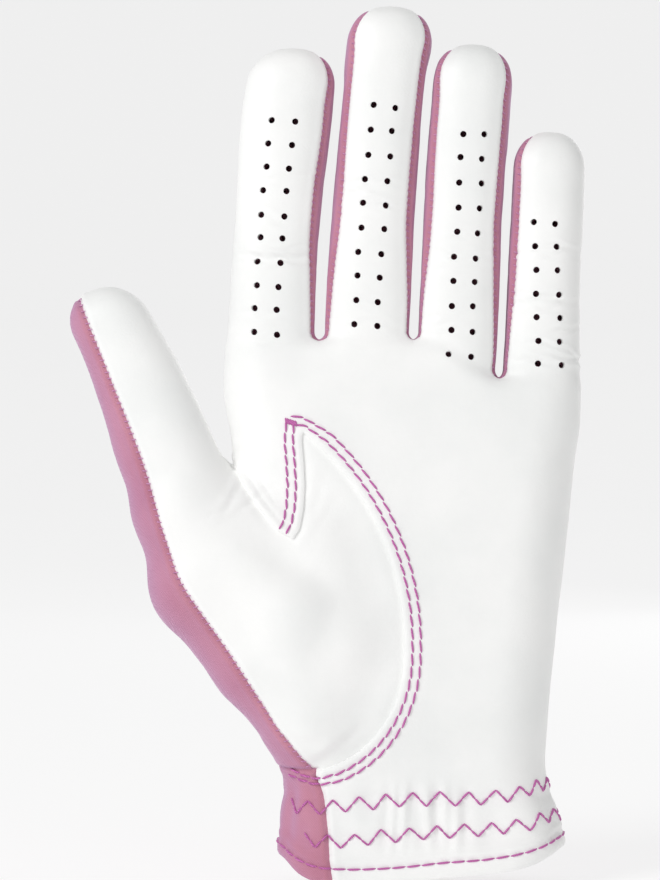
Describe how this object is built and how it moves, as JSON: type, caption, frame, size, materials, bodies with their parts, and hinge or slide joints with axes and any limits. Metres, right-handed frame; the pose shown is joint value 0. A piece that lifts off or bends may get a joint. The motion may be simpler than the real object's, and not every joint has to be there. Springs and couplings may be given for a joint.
{
  "type": "golf glove",
  "caption": "Left-hand golf glove of smooth leather with stretch-fabric sides and back, filled to a hand's shape, with bending fingers, swinging thumb and a closing wrist tab.",
  "frame": {"origin": "centre of the cuff opening, level with the lowest edge of the hem", "axes": "+Z from the cuff to the fingertips, the palm side faces -Y and the thumb is on the -X side"},
  "size_m": [0.1197, 0.0354, 0.2049],
  "materials": {
    "leather": "smooth matt",
    "stretch_fabric": "matt knitted",
    "thread": "twisted thread",
    "elastic": "ribbed",
    "hook_and_loop": "fuzzy"
  },
  "bodies": {
    "palm": {"palm_panel": "leather", "back_panel": "stretch_fabric", "crotch_fourchettes": "stretch_fabric", "thumb_front_root": "leather", "thumb_back_root": "stretch_fabric", "palm_hem": "leather", "back_hem": "stretch_fabric", "cuff_elastic": "elastic", "thumb_seam_stitching": "thread", "zigzag_stitching": "thread", "hem_stitching": "thread", "slit_binding": "leather", "loop_patch": "hook_and_loop"},
    "index_base": {"index_front_base": "leather", "index_back_base": "stretch_fabric", "index_fourchette_base": "stretch_fabric"},
    "index_middle": {"index_front_middle": "leather", "index_back_middle": "stretch_fabric", "index_fourchette_middle": "stretch_fabric"},
    "index_tip": {"index_front_tip": "leather", "index_back_tip": "stretch_fabric", "index_fourchette_tip": "stretch_fabric"},
    "middle_base": {"middle_front_base": "leather", "middle_back_base": "stretch_fabric", "middle_fourchettes_base": "stretch_fabric"},
    "middle_middle": {"middle_front_middle": "leather", "middle_back_middle": "stretch_fabric", "middle_fourchettes_middle": "stretch_fabric"},
    "middle_tip": {"middle_front_tip": "leather", "middle_back_tip": "stretch_fabric", "middle_fourchettes_tip": "stretch_fabric"},
    "ring_base": {"ring_front_base": "leather", "ring_back_base": "stretch_fabric", "ring_fourchettes_base": "stretch_fabric"},
    "ring_middle": {"ring_front_middle": "leather", "ring_back_middle": "stretch_fabric", "ring_fourchettes_middle": "stretch_fabric"},
    "ring_tip": {"ring_front_tip": "leather", "ring_back_tip": "stretch_fabric", "ring_fourchettes_tip": "stretch_fabric"},
    "little_base": {"little_front_base": "leather", "little_back_base": "stretch_fabric", "little_fourchette_base": "stretch_fabric"},
    "little_middle": {"little_front_middle": "leather", "little_back_middle": "stretch_fabric", "little_fourchette_middle": "stretch_fabric"},
    "little_tip": {"little_front_tip": "leather", "little_back_tip": "stretch_fabric", "little_fourchette_tip": "stretch_fabric"},
    "thumb_base": {"thumb_front_base": "leather", "thumb_back_base": "stretch_fabric"},
    "thumb_tip": {"thumb_front_tip": "leather", "thumb_back_tip": "stretch_fabric"},
    "closure_tab": {"tab_cover": "leather", "tab_lining": "stretch_fabric", "hook_patch": "hook_and_loop", "tab_stitching": "thread"}
  },
  "joints": [
    {"name": "index_root_bend", "type": "hinge", "parent": "palm", "child": "index_base", "pos_m": [-0.0341, -0.0025, 0.13447], "axis": [0.9973, 0, -0.0732], "range_deg": [-10, 70], "stiffness_Nm_per_rad": 0.0015},
    {"name": "index_middle_bend", "type": "hinge", "parent": "index_base", "child": "index_middle", "pos_m": [-0.03238, -0.0025, 0.15791], "axis": [0.9973, 0, -0.0732], "range_deg": [0, 80], "stiffness_Nm_per_rad": 0.0004},
    {"name": "index_end_bend", "type": "hinge", "parent": "index_middle", "child": "index_tip", "pos_m": [-0.03085, -0.0025, 0.17885], "axis": [0.9973, 0, -0.0732], "range_deg": [0, 48], "stiffness_Nm_per_rad": 0.00004},
    {"name": "middle_root_bend", "type": "hinge", "parent": "palm", "child": "middle_base", "pos_m": [-0.01145, -0.0025, 0.13547], "axis": [0.9969, 0, -0.0785], "range_deg": [-10, 70], "stiffness_Nm_per_rad": 0.0015},
    {"name": "middle_middle_bend", "type": "hinge", "parent": "middle_base", "child": "middle_middle", "pos_m": [-0.0093, -0.0025, 0.16289], "axis": [0.9969, 0, -0.0785], "range_deg": [0, 80], "stiffness_Nm_per_rad": 0.0004},
    {"name": "middle_end_bend", "type": "hinge", "parent": "middle_middle", "child": "middle_tip", "pos_m": [-0.00741, -0.0025, 0.18681], "axis": [0.9969, 0, -0.0785], "range_deg": [0, 48], "stiffness_Nm_per_rad": 0.00004},
    {"name": "ring_root_bend", "type": "hinge", "parent": "palm", "child": "ring_base", "pos_m": [0.00931, -0.0025, 0.13548], "axis": [0.9979, 0, -0.0645], "range_deg": [-10, 70], "stiffness_Nm_per_rad": 0.0015},
    {"name": "ring_middle_bend", "type": "hinge", "parent": "ring_base", "child": "ring_middle", "pos_m": [0.01089, -0.0025, 0.15993], "axis": [0.9979, 0, -0.0645], "range_deg": [0, 80], "stiffness_Nm_per_rad": 0.0004},
    {"name": "ring_end_bend", "type": "hinge", "parent": "ring_middle", "child": "ring_tip", "pos_m": [0.01225, -0.0025, 0.18088], "axis": [0.9979, 0, -0.0645], "range_deg": [0, 48], "stiffness_Nm_per_rad": 0.00004},
    {"name": "little_root_bend", "type": "hinge", "parent": "palm", "child": "little_base", "pos_m": [0.02827, -0.0025, 0.12649], "axis": [0.9986, 0, -0.0523], "range_deg": [-10, 70], "stiffness_Nm_per_rad": 0.0015},
    {"name": "little_middle_bend", "type": "hinge", "parent": "little_base", "child": "little_middle", "pos_m": [0.02926, -0.0025, 0.14546], "axis": [0.9986, 0, -0.0523], "range_deg": [0, 80], "stiffness_Nm_per_rad": 0.0004},
    {"name": "little_end_bend", "type": "hinge", "parent": "little_middle", "child": "little_tip", "pos_m": [0.0301, -0.0025, 0.16144], "axis": [0.9986, 0, -0.0523], "range_deg": [0, 48], "stiffness_Nm_per_rad": 0.00004},
    {"name": "thumb_swing", "type": "hinge", "parent": "palm", "child": "thumb_base", "pos_m": [-0.05, -0.007, 0.1], "axis": [0.6018, 0, 0.7986], "range_deg": [0, 40], "stiffness_Nm_per_rad": 0.0008},
    {"name": "thumb_end_bend", "type": "hinge", "parent": "thumb_base", "child": "thumb_tip", "pos_m": [-0.0654, -0.006, 0.1113], "axis": [0.9205, 0, 0.3907], "range_deg": [0, 50], "stiffness_Nm_per_rad": 0.0002},
    {"name": "tab_hinge", "type": "hinge", "parent": "palm", "child": "closure_tab", "pos_m": [0.0145, 0.0175, 0.02], "axis": [0, 0, -1], "range_deg": [0, 150], "stiffness_Nm_per_rad": 0.0001}
  ],
  "couplings": [
    {"joint": "index_end_bend", "follows": "index_middle_bend", "ratio": 0.6},
    {"joint": "middle_end_bend", "follows": "middle_middle_bend", "ratio": 0.6},
    {"joint": "ring_end_bend", "follows": "ring_middle_bend", "ratio": 0.6},
    {"joint": "little_end_bend", "follows": "little_middle_bend", "ratio": 0.6}
  ]
}
